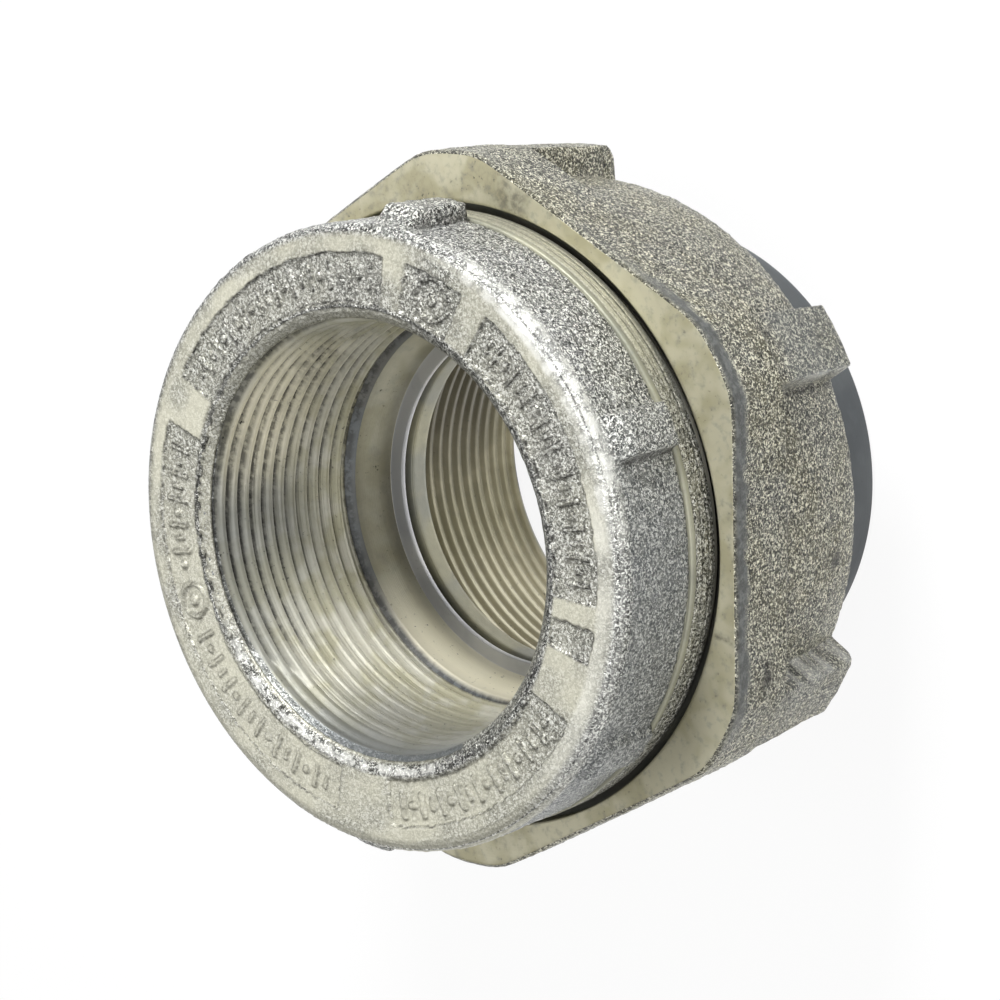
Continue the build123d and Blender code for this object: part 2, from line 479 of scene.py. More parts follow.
@cache
def turning_group():
    """Fine rings left by the lathe: noise of the distance from the axis plus the height."""
    n, start, end = new_group("Turning marks", {"Size": 0.25}, ("Height",))
    where = n.spot()
    flat = n.add("VectorMath", 0, {0: where, 1: (1, 1, 0)}, operation="MULTIPLY")
    radius = n.add("VectorMath", "Value", {0: flat}, operation="LENGTH")
    ring = n.math("ADD", radius, n.add("SeparateXYZ", "Z", {0: where}))
    lines = n.add(
        "TexNoise", 0,
        {"W": ring, "Scale": n.math("DIVIDE", 1.0, start.outputs["Size"]), "Detail": 2.0},
        noise_dimensions="1D",
    )
    n.put(end.inputs["Height"], lines)
    return n.tree


@cache
def grime_group():
    """Dark dirt and painted shade: scattered specks, and an uneven coat where the mask is high."""
    n, start, end = new_group(
        "Grime", {"Base": BLANK, "Dirt": BLANK, "Mask": 0.0, "Specks": 0.5}, ("Color",)
    )
    where = n.spot()
    specks = n.ramp(n.noise(where, SPECK_SIZE, 2.0, 0.6), 0.64, 0.76)
    spread = n.ramp(n.noise(where, SPREAD_SIZE, 2.0), 0.42, 0.66)
    loose = n.math("MULTIPLY", n.math("MULTIPLY", specks, spread), start.outputs["Specks"])
    uneven = n.ramp(n.noise(where, SMUDGE_SIZE, 3.0, 0.65), 0.36, 0.58, 0.4, 1.0)
    held = n.math("MULTIPLY", start.outputs["Mask"], uneven)
    total = n.math("ADD", loose, held, clamp=True)
    n.put(end.inputs["Color"], n.mix(total, start.outputs["Base"], start.outputs["Dirt"]))
    return n.tree


WORN_SMOOTHING = 0.84
CAST_PATCH, CAST_SHADE, CAST_SPECKS, CAST_METAL = 11.0, 0.35, 0.3, 0.65
CAST_ROUGHNESS = (0.34, 0.46)
RING_SIZE, HAIR_SIZE, MOTTLE_ROUGHNESS = 0.3, 0.35, 0.24


def new_material(name):
    """An empty node material with its Principled BSDF and output joined."""
    material = bpy.data.materials.new(name)
    n = empty_tree(material)
    shader = n.tree.nodes.new("ShaderNodeBsdfPrincipled")
    output = n.tree.nodes.new("ShaderNodeOutputMaterial")
    n.put(output.inputs["Surface"], shader.outputs[0])
    return material, n, shader


def attribute(n, name):
    """A number kept at the mesh's points."""
    return n.add("Attribute", "Fac", attribute_name=name)


def coat_shader(n, shader, finish, base, specks, rough, metallic, height, relief):
    """Give a shader dirt and painted shade over a base, its roughness and its bump in millimetres."""
    dirt = n.group(
        grime_group(), Base=base, Dirt=finish.grime_and_shade, Mask=attribute(n, "dirt"), Specks=specks
    )
    n.put(shader.inputs["Base Color"], dirt["Color"])
    n.put(shader.inputs["Metallic"], metallic)
    n.put(shader.inputs["Roughness"], rough)
    bump = n.add("Bump", 0, {"Height": height, "Distance": relief * MM, "Strength": 1.0})
    n.put(shader.inputs["Normal"], bump)


def cast_finish(name, finish, size=0.5, relief=0.12, plain=None, blush=None, pits=0.9,
                glints=0.7, glint=None):
    """Cast grain under zinc: pits, glints, smooth where worn is 1, painted highlight in white."""
    material, n, shader = new_material(name)
    grains_of = n.group(cast_grain_group(), Size=size)
    coat = n.group(
        coat_group(), Plain=plain or finish.cast, Blush=blush or finish.cast,
        Shade=finish.slate, Patch_size=CAST_PATCH, Shade_amount=CAST_SHADE,
    )
    worn = attribute(n, "worn")
    rough_part = n.math("SUBTRACT", 1.0, n.math("MULTIPLY", worn, WORN_SMOOTHING))
    dark = n.math("MULTIPLY", n.math("MULTIPLY", grains_of["Pits"], rough_part), pits)
    light = n.math("MULTIPLY", n.math("MULTIPLY", grains_of["Glints"], rough_part), glints)
    base = n.mix(worn, coat["Color"], finish.worn)
    base = n.mix(dark, base, finish.cast_pit)
    base = n.mix(light, base, glint or finish.cast_glint)
    # Slate tint: real coat in some places, painted shade in others.
    base = n.mix(attribute(n, "slate"), base, finish.slate)
    # Painted highlight: white where light is painted on.
    base = n.mix(attribute(n, "shine"), base, finish.cast_glint)
    height = n.math("MULTIPLY", grains_of["Height"], rough_part)
    rough = n.ramp(worn, 0, 1, *CAST_ROUGHNESS)
    coat_shader(n, shader, finish, base, CAST_SPECKS, rough, CAST_METAL, height, relief)
    return material


def turned_finish(name, finish, plain, blush, rough=0.4, marks=0.012, patch=9.0, shade=0.35,
                  specks=0.3, metallic=0.5):
    """Turned zinc: lathe rings, blushed patches, dirt, painted light, and painted shade in grooves."""
    material, n, shader = new_material(name)
    coat = n.group(
        coat_group(), Plain=plain, Blush=blush, Shade=finish.slate, Patch_size=patch,
        Shade_amount=shade,
    )
    base = coat["Color"]
    # Painted light in straw, painted shade in brown, and slate that is partly real coat, partly painted
    # shade.
    for label, tint in (
        ("slate", finish.slate), ("shine", finish.lit_straw), ("shade", finish.brown)
    ):
        base = n.mix(attribute(n, label), base, tint)
    spread = n.math("ADD", n.math("MULTIPLY", coat["Mottle"], MOTTLE_ROUGHNESS), rough - 0.1)
    rings = n.group(turning_group(), Size=RING_SIZE)["Height"]
    fine = n.noise(n.spot(), HAIR_SIZE, 2.0)
    height = n.math("ADD", rings, n.math("MULTIPLY", fine, 0.8))
    coat_shader(n, shader, finish, base, specks, spread, metallic, height, marks)
    return material


# The front hub's cast head: face, rim, barrel and lugs


HEAD_COLUMNS, HEAD_LENGTH = 900, 14.25
FACE_IN, FACE_LOW, FACE_OUT = 30.9, 31.5, 37.5
STROKE, DOT, RING = 0.34, 0.62, 0.26
LUG_START, LUG_FOOT, LUG_END = 23.7, (2.4, 4.9), (13.7, 14.1)
LOW_LUG, WEAK_LUG, LUG_SPREAD = -96.3, -156.3, 14
# Sides of the face in degrees from the model's X axis: where each begins, is full, fades and ends
LEFT_SIDE = (12, 42, 84, 100)
UPPER_SIDE = (-60, -40, 14, 40)
LOWER_SIDE = (84, 100, 166, 180)
FLAT_MARKS = (84, 96, 146, 156)
CALM_SIDE = (38, 70, 180, 215)
# LOW_RIM: where the lower rim is painted lighter.
LOW_RIM = (96, 114, 152, 172)
# The first angle is the middle of the rim's worn place, which also carries a painted highlight.
RUBBED_LIT_AT, DARK_AT = -82, 308
PANELS = (
    (-38.0, 29.0), (-58.5, -43.5), (-125.5, -65.0), (-137.0, -130.0), (-206.0, -149.5),
    (39.5, 140.0),
)
ROUND_MARKS = ((34.5, -51.8, 2.65), (34.3, 80.0, 2.25))
MARK_ROWS = ((-35.6, 26.6, 22), (-123.0, -67.4, 20), (-203.4, -152.4, 18), (43.0, 73.0, 10),
             (87.0, 137.0, 16))


def panel_floor(radius, degrees):
    """1 inside the sunken panels of the face and 0 outside, with a soft edge 0.35 mm wide."""
    inside = np.zeros(np.broadcast_shapes(radius.shape, degrees.shape))
    for start, end in PANELS:
        middle, half = (start + end) / 2, (end - start) / 2
        off = wrap(degrees - middle)
        across = radius * np.radians(half - np.abs(off))
        inside = np.maximum(inside, rise(across, -0.05, 0.3))
    return inside * window(
        radius, FACE_IN - 0.1, FACE_IN + 0.5, FACE_OUT - 0.3, FACE_OUT + 0.05
    )


def raised_marks(radius, degrees, ragged):
    """Plain upright bars, long and short, and round dots on the panels, from 0 to 1.

    A mark is every point nearer than half a stroke to its line or dot. ragged is added to the
    distances, which roughens the edges. The round marks are a circle about a dot.
    """
    nearest = np.full(np.broadcast_shapes(radius.shape, degrees.shape), np.inf)
    for start, end, count in MARK_ROWS:
        for k in range(count):
            at = start + (end - start) * (k + 0.5) / count
            u, v = radius * np.radians(wrap(degrees - at)), radius - (FACE_LOW + FACE_OUT) / 2
            long, wide = ((1.5, STROKE), (0.0, DOT), (1.5, STROKE), (0.7, STROKE))[k % 4]
            away = np.hypot(u, np.maximum(np.abs(v) - long, 0)) - wide
            nearest = np.minimum(nearest, away)
    for at_radius, at, size in ROUND_MARKS:
        out = np.hypot(radius * np.radians(wrap(degrees - at)), radius - at_radius)
        nearest = np.minimum(nearest, np.minimum(np.abs(out - size) - RING, out - 0.8))
    return rise(-(nearest + ragged), -0.12, 0.16)


def build_head(scene):
    """Build the front hub's cast head: the marked face, its rounded rim and the lugged barrel."""
    hub, finish = scene.union_hub, scene.union_finish
    barrel, rim, mouth = millimetres(hub, "barrel", "rim", "mouth")
    panel_depth, mark_height = millimetres(hub, "panel_depth", "mark_height")
    lug_width, lug_height = millimetres(hub, "lug_width", "lug_height")
    low = TOP - HEAD_LENGTH
    bend = barrel - rim
    r, z, out, zones = profile(
        [
            (mouth, TOP, 0.22, 50, "face"),
            (rim, TOP, 0, 3, "face"),
            *(
                (rim + bend * outwards, TOP - bend * down, 0, 3, "face")
                for outwards, down in ((0.38, 0.075), (0.71, 0.29), (0.925, 0.62))
            ),
            (barrel, TOP - bend, 0, 31, "face"),
            (barrel, low + 0.35, 0, 2, "face"),
            (barrel - 0.4, low, 0, 1, "face"),
            (barrel - 2.4, low, 0, 2, "face"),
            (rim - 3, TOP - 4, 0, 1, "face"),
            (29.6, TOP - 1.7, 0, 1, "face"),
            (mouth - 1.35, TOP - 1.25, 0, 6, "face"),
        ]
    )
    angle = even_angles(HEAD_COLUMNS)
    degrees = np.degrees(angle)
    on_face = np.where(r < 33, (z > TOP - 0.3) * 1.0, rise(z, TOP - 0.22, TOP - 0.01))
    chamfer = ((r < mouth + 0.02) & (z < TOP - 0.02)) * 1.0
    signed = wrap(degrees)
    left, upper, lower = (window(signed, *part) for part in (LEFT_SIDE, UPPER_SIDE, LOWER_SIDE))
    shown = (z > low - 0.01) & ~((r < barrel - 0.5) & (z < TOP - 0.5))

    # Panels and marks of the face, and its worn mouth
    depth = TOP - z
    ragged = grains(angle, r, 34, 45, (0.13, 0.7, 3), (0.08, 0.35, 4))
    floor = panel_floor(r + ragged * 1.2, degrees + 1.3 * ragged)
    marks = raised_marks(r, degrees, ragged) * rise(floor, 0.3, 0.9)
    fade = 1 - 0.6 * window(degrees, *FLAT_MARKS)
    drop = fade * (floor * panel_depth - marks * mark_height)
    worn_height = 0.1 * grain(angle, r, 35, 45, 9, 5)
    inner = 1 - rise(r, mouth + 0.15, mouth + 1.0 + 0.25 * left - 0.3 * lower)
    pitted = rise(grain(angle, r, 31, 45, 0.75, 14), -0.25, 0.45)
    drop = drop + inner * (0.1 + (0.16 + 0.3 * left) * pitted)

    # Lugs, which die out in the rim
    spacing = TURN / hub.lugs if hub.lugs else TURN
    off = (angle - math.radians(LUG_START) + spacing / 2) % spacing - spacing / 2
    across = np.abs(off) * barrel
    half = lug_width / 2
    crown = 1 - 0.1 * (across / half) ** 2
    lug = (1 - rise(across, half - 1.05, half - 0.45)) * crown
    weak = bell(wrap(signed - WEAK_LUG), 0, LUG_SPREAD)
    lug = lug * (1 - 0.5 * weak) * (1 - 0.14 * bell(signed, LOW_LUG, LUG_SPREAD))
    slope = rise(depth, *LUG_FOOT)
    lug = lug * slope * (1 - rise(depth, *LUG_END))
    side = rise(r, barrel - 1.0, barrel - 0.1) * shown

    # Casting roughness
    rough = grains(angle, depth, 41, 16, (0.075, 0.62, 8), (0.05, 0.33, 9))
    lumps = 0.12 * grain(angle, depth, 41, 16, 3.6, 10)
    face_rough = 0.035 * grain(angle, r, 35, 45, 0.5, 11) * (0.35 + 0.65 * floor)
    push = side * (rough + lumps * 0.6)
    radius = r + out[:, :1] * push + side * lug * lug_height
    height = z + out[:, 1:] * push * 0.8
    height = height - on_face * (drop - face_rough - worn_height * 0.3)
    torn = chamfer * grains(angle, z, 30, 70, (0.13, 0.7, 15), (0.07, 0.4, 16))
    radius = radius + torn * (0.5 + 0.5 * (left + lower) * rise(z, TOP - 0.9, TOP - 0.6))

    # Where the coat is worn or dirty, painted highlights on rim and mouth, painted shade by the lugs
    smooth = on_face * (1 - floor) * (1 - inner) + on_face * marks * 0.45
    patchy = grain(angle, r, 35, 45, 4, 12)
    calm = window(degrees, *CALM_SIDE)
    worn = np.clip(smooth * (0.85 + 0.35 * patchy), 0, 1)
    worn = np.maximum(worn, on_face * floor * (0.4 + 0.52 * calm + 0.12 * patchy))
    worn = np.maximum(worn, chamfer * (0.7 * upper + 0.75 * left * (1 - upper)))
    worn = worn * (1 - 0.6 * bell(wrap(degrees - DARK_AT), 0, 7) * rise(r, 33, 38))
    # Painted highlight: white blobs along the rounded rim, where it is worn and catches the light.
    rounding = rise(r, rim - 0.5, rim + 0.2) * (1 - rise(depth, 1.6, 3.0)) * shown
    rubbed_and_lit = 1 - rise(np.abs(wrap(signed - RUBBED_LIT_AT)), 18, 38)
    blobs = 0.55 * grain(angle, depth + 0.3 * r, 40, 34, 1.5, 17)
    blobs = rise(blobs + 0.45 * grain(angle, depth, 40, 16, 0.7, 20), -0.4, 0.4)
    shine = rounding * rubbed_and_lit * (0.2 + 0.6 * blobs)
    worn = np.maximum(worn, rounding * 0.5 * rubbed_and_lit * blobs)
    # Painted highlight: bright beads along the lower side of the mouth's edge.
    beads = rise(grain(angle, z, 30, 70, 0.65, 18), -0.3, 0.3)
    edge_line = np.maximum(chamfer * rise(z, TOP - 0.85, TOP - 0.6), inner * on_face * 0.25)
    shine = np.maximum(shine, lower * edge_line * beads * 0.9)
    # Painted light: a lighter band on the lower part of the rim.
    low_rim = window(-signed, *LOW_RIM) * rise(r, rim - 2.0, rim - 1.2)
    low_rim = low_rim * (1 - rise(depth, 0.7, 1.8)) * shown
    shine = np.maximum(shine, 0.4 * low_rim * (0.6 + 0.4 * patchy))
    line = 4 * floor * (1 - floor) * rise(grain(angle, r, 35, 45, 0.9, 13), -0.5, 0.3)
    line = line + 5 * marks * (1 - marks)
    edge = inner * (0.15 + 0.3 * pitted + 0.45 * left * pitted) * (1 - 0.5 * lower)
    dirt = on_face * (edge + (1.1 - 0.55 * calm) * np.clip(line, 0, 1))
    torn_dirt = (0.2 + 0.2 * pitted - 0.06 * left) * (1 - 0.55 * lower)
    dirt = dirt + chamfer * torn_dirt * (1 - 0.8 * upper)
    inside = chamfer * lower * (1 - rise(z, TOP - 1.0, TOP - 0.75))
    dirt = dirt * (1 - 0.5 * inside)
    shoulder = window(r, rim - 0.5, rim, rim + 0.5, rim + 1.0) * (depth < 0.6)
    for part in (0.7 * inside, 0.9 * calm * rounding, 0.65 * shoulder):
        worn = np.maximum(worn, part)
    dirt = dirt + 0.35 * left * rounding * rise(grain(angle, depth, 40, 16, 0.8, 19), -0.3, 0.5)
    # Darker at the barrel's rear end.
    dirt = dirt + side * 0.3 * rise(depth, 13.2, 14.0)
    # Painted shadow: a dark line along one foot of each lug.
    foot = bell(off * barrel + half, 0.45, 0.32) * slope
    dirt = dirt + side * 0.9 * foot * (1 - 0.6 * weak)
    zinc = cast_finish(
        "Cast hub zinc", finish, 0.33, 0.27, blush=tone(150, 151, 144), pits=1.0, glints=1.0
    )
    piece = revolve(
        "front_hub_head", radius, height, angle, zones, {"face": zinc},
        worn=worn, dirt=np.clip(dirt, 0, 1), shine=np.clip(shine, 0, 1),
        # Painted shade, tinted slate: the barrel darker on its lower right.
        slate=0.42 * side * (1 - rounding) * rise(-signed, 80, 118),
    )
    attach(piece, frame["nodes"]["front_hub"]["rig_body"])


# The front hub's turned core: mouth, pipe thread, throat, lip, joint thread and band


CORE_COLUMNS = 356
BORE_DEPTH, THREAD_ANGLE = 26.5, 64
PIPE_CREST_SHARE = 0.28
JOINT_FOOT = 30.0
THROAT_START, THROAT_END, THROAT_RADIUS = 27.9, 34.05, 27.2
BATTERED = (1.65, 2.0, 3.0, 3.7)
SCRIBES = ((52.1, 0.6), (50.8, 0.9), (50.4, 0.4), (49.4, 1.0))
# Sides of the bore and band in degrees, as for the face
WIDE_LINES = (20, 50, 92, 108)
STEEP_LIGHT = (-40, -5, 36, 66)
# The next: where light is painted on the upper wall; the one after: where the throat has painted shade.
LIT_WALL = (-8, 14, 40, 62)
THROAT_SHADED_SIDE = (10, 30, 70, 96)
THROAT_SHADE = (44, 62, 80, 98)
LOWER_SHADE = (112, 134, 158, 175)
SMOOTH_BAND = (-100, -78, 5, 30)


def pipe_wall(radius, depth, sunk, cut):
    """Radius of a bore with its tapered thread: sunk is 0 on the crest and 1 at the root."""
    crest, thread_depth = millimetres(cut, "pipe_crest", "pipe_depth")
    narrowing = cut.pipe_taper * depth
    wall = np.maximum(radius, crest - narrowing)
    return wall + sunk * np.maximum(crest + thread_depth - narrowing - wall, 0)


def build_core(scene):
    """Build the front hub's turned core: pipe thread, throat, lip, joint thread and band."""
    hub, cut, finish = scene.union_hub, scene.union_thread, scene.union_finish
    mouth, band, joint = millimetres(hub, "mouth", "band", "joint_thread")
    crest, pitch = millimetres(cut, "pipe_crest", "pipe_pitch")
    inner_end = crest - cut.pipe_taper * 26.4
    r, z, _, zones = profile(
        [
            (mouth - 0.55, TOP - 0.57, 0, 8, "mouth"),
            (crest, TOP - 2.04, 0, 124, "thread"),
            (inner_end, TOP - 26.3, 0, 2, "thread"),
            (28.4, TOP - 26.6, 0, 1, "shoulder"),
            (28.4, TOP - 26.9, 0.08, 2, "shoulder"),
            (27.1, TOP - 28.0, 0.12, 8, "throat"),
            (25.8, TOP - 34.1, 0.06, 4, "lip"),
            (23.7, TOP - 34.1, 0.12, 1, "lip"),
            (23.7, TOP - 34.9, 0.1, 3, "lip"),
            (26.0, TOP - 34.9, 0.1, 8, "joint"),
            (34.5, 28.9, 0.15, 3, "joint"),
            (joint - 1.2, 28.9, 0.1, 3, "joint"),
            (joint, 30.1, 0, 56, "joint"),
            (joint, 47.4, 0, 1, "joint"),
            (joint, 48.2, 0.05, 2, "band"),
            (band, 48.2, 0.2, 23, "band"),
            (band, 52.2, 0, 3, "edge"),
            (band, 53.0, 0.18, 1, "edge"),
            (band - 0.7, 53.24, 0, 2, "edge"),
            (38.0, 53.24, 0, 1, "band"),
            (38.0, TOP - 5, 0, 1, "band"),
        ]
    )
    angle = even_angles(CORE_COLUMNS)

    # Pipe thread, battered at its first turns
    depth = TOP - z
    bore = (r < 31) & (depth < BORE_DEPTH)
    start = TOP - 3.95 - pitch * math.radians(THREAD_ANGLE) / TURN
    sunk = groove(z, angle, pitch, start, PIPE_CREST_SHARE)
    battered = window(angle, *BATTERED)
    reach = 0.4 + 0.6 * rise(depth, 0.9 + 4 * battered, 1.3 + 9 * battered)
    reach = reach * window(depth, 0.5, 1.0, 25.8, BORE_DEPTH)
    radius = np.where(bore, pipe_wall(r, depth, sunk * reach, cut), r)

    # Union thread
    lead, deep = millimetres(cut, "joint_lead", "joint_depth")
    male = (np.abs(r - joint) < 0.01) & (z < 47.5)
    screw = groove(z, angle, lead, JOINT_FOOT)
    ends = window(z, 29.6, 30.6, 46.2, 47.4)
    radius = np.where(male, radius - screw * ends * deep, radius)

    # Scribed lines of the band
    on_band = np.abs(r - band) < 0.01
    scribe = sum(share * bell(z, at, 0.12) for at, share in SCRIBES)
    radius = np.where(on_band, radius - 0.15 * scribe, radius)
    edge = 1 - rise(z, 48.2, 48.9)
    radius = radius - on_band * edge * 0.1 * (1 + grain(angle, z, 41, 60, 0.6, 21))

    # Painted shade in the thread grooves, a dirty patch, band scribes, and painted light and shade in the
    # bore
    signed = wrap(np.degrees(angle))
    wide_line = window(signed, *WIDE_LINES) * (1 - rise(depth, 8, 18))
    steep = window(signed, *STEEP_LIGHT)
    # Painted shade: dark lines at the thread's roots, wider on the left, thinner where light is steep.
    line = rise(
        sunk * reach, 0.7 - 0.4 * wide_line - 0.5 * steep, 0.95 - 0.15 * wide_line - 0.4 * steep
    )
    dirt = np.where(bore, (0.95 - 0.45 * battered) * (1 - 0.25 * steep) * line, 0)
    patch = bell(signed, 12, 17) * bell(depth, 13.5, 5.5)
    stain = grains(angle, depth, 28, 40, (0.6, 3.1, 22), (0.4, 1.0, 26))
    dirt = dirt + bore * patch * 0.45 * rise(stain, -0.45, 0.35)
    # Painted shade: dark in the recess between the thread and the throat.
    dirt = dirt + 0.75 * ((depth > 26.2) & (depth < THROAT_START) & (r < 29))
    # Dark scribed lines and front edge of the band, and darker grooves of the joint thread.
    dirt = dirt + on_band * (0.95 * scribe + 0.45 * edge) + 0.5 * male * screw
    # Painted shade, tinted slate: the bore's wall darker on its left and lower sides.
    slate = (0.1 + 0.3 * rise(signed, 70, 105)) * (1 - rise(depth, 2.5, 10))
    slate = slate + 0.45 * rise(signed, 106, 140) * (1 - rise(depth, 10, 26))
    slate = bore * (slate + 0.5 * bell(signed, 64, 24) * (1 - rise(depth, 12, 26)))
    cloudy = grains(angle, depth, 28, 40, (0.5, 5, 23), (0.3, 1.3, 24), (0.2, 0.7, 25))
    # Painted light: lighter places of the upper thread and of the lower throat.
    shine = bore * window(depth, 2.2, 3.0, 9, 22) * window(signed, *LIT_WALL)
    shine = shine * (0.72 + 0.28 * cloudy)
    throat = (depth > THROAT_START) & (depth < THROAT_END) & (r < THROAT_RADIUS)
    shine = shine + 0.75 * throat * rise(signed, 84, 116)
    # Painted shade: the throat a little darker on its left side.
    dirt = dirt + 0.1 * throat * window(signed, *THROAT_SHADED_SIDE)
    shade = 0.38 * rise(depth, 31.6, 34.0) + 0.2 * (1 - rise(depth, 28.0, 29.6))
    shade = shade + 0.26 * window(signed, *THROAT_SHADE)
    wall_shade = 0.26 * bell(signed, 67, 18) * (1 - rise(depth, 12, 24))
    wall_shade = wall_shade + 0.24 * window(signed, *LOWER_SHADE) * (1 - rise(depth, 14, 25))
    shade = throat * shade + bore * wall_shade
    bright = window(signed, *SMOOTH_BAND)
    piece = revolve(
        "front_hub_core", radius, z, angle, zones,
        {
            "mouth": cast_finish(
                "Turned mouth", finish, 0.34, 0.12, plain=tone(160, 160, 152),
                blush=tone(150, 150, 142), pits=0.5, glints=0.9,
            ),
            "thread": turned_finish(
                "Front pipe thread", finish, tone(184, 182, 168), tone(166, 163, 140), 0.5,
                0.045, patch=5.0, shade=0.15, specks=0.8, metallic=0.3,
            ),
            "shoulder": turned_finish(
                "Thread shoulder", finish, tone(120, 120, 116), finish.slate, 0.5, metallic=0.2
            ),
            "throat": turned_finish(
                "Turned throat", finish, tone(184, 182, 166), tone(166, 163, 142), 0.46,
                0.03, patch=9.0, shade=0.2, specks=0.9, metallic=0.3,
            ),
            "lip": turned_finish(
                "Turned lip", finish, tone(184, 184, 183), tone(158, 159, 162), 0.46,
                patch=20.0, shade=0.15,
            ),
            "joint": turned_finish(
                "Joint thread", finish, tone(168, 167, 156), tone(150, 150, 141), 0.38,
                patch=14.0, shade=0.15,
            ),
            "band": cast_finish(
                "Turned band", finish, 0.33, 0.16, plain=tone(164, 164, 155),
                blush=tone(168, 166, 150), pits=1.0, glints=0.9,
            ),
            "edge": turned_finish(
                "Band edge", finish, tone(166, 165, 146), tone(146, 146, 131), 0.5, 0.06,
                shade=0.2,
            ),
        },
        dirt=np.clip(dirt, 0, 1), worn=0.92 * bright, shine=shine, shade=shade, slate=slate,
    )
    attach(piece, frame["nodes"]["front_hub"]["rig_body"])
    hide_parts("front_hub")


# The ring nut


NUT_COLUMNS, RIBS = 686, 6
NUT_TOP, NUT_CREASE, NUT_LOW = 48.6, 37.0, 17.7
NUT_MOUTH = 42.1
NUT_GIRTH, NUT_SPAN = 46, 60
SIDE_ANGLE = TURN / 6
CORNER_SOFTNESS = 0.5
# LEE_SIDE: where the grey strip runs and where the ribs carry painted shade and highlights.
LEE_SIDE = (60, 84, 140, 156)
LIT_SIDE = (130, 136, 150, 156)
CRACK_ENDS = (128.5, 130, 135.5, 137)
SMUDGES = ((-127, 24.3, 1.5, 1.5), (-141, 42, 1.9, 1.3))


def near_ribs(angle):
    """How close the columns stand: more at the sides of the ribs, where the wall is steep."""
    off = np.abs(angle % (TURN / RIBS) - TURN / RIBS / 2)
    return 1 + 5 * bell(off, math.radians(6.0), math.radians(0.9))


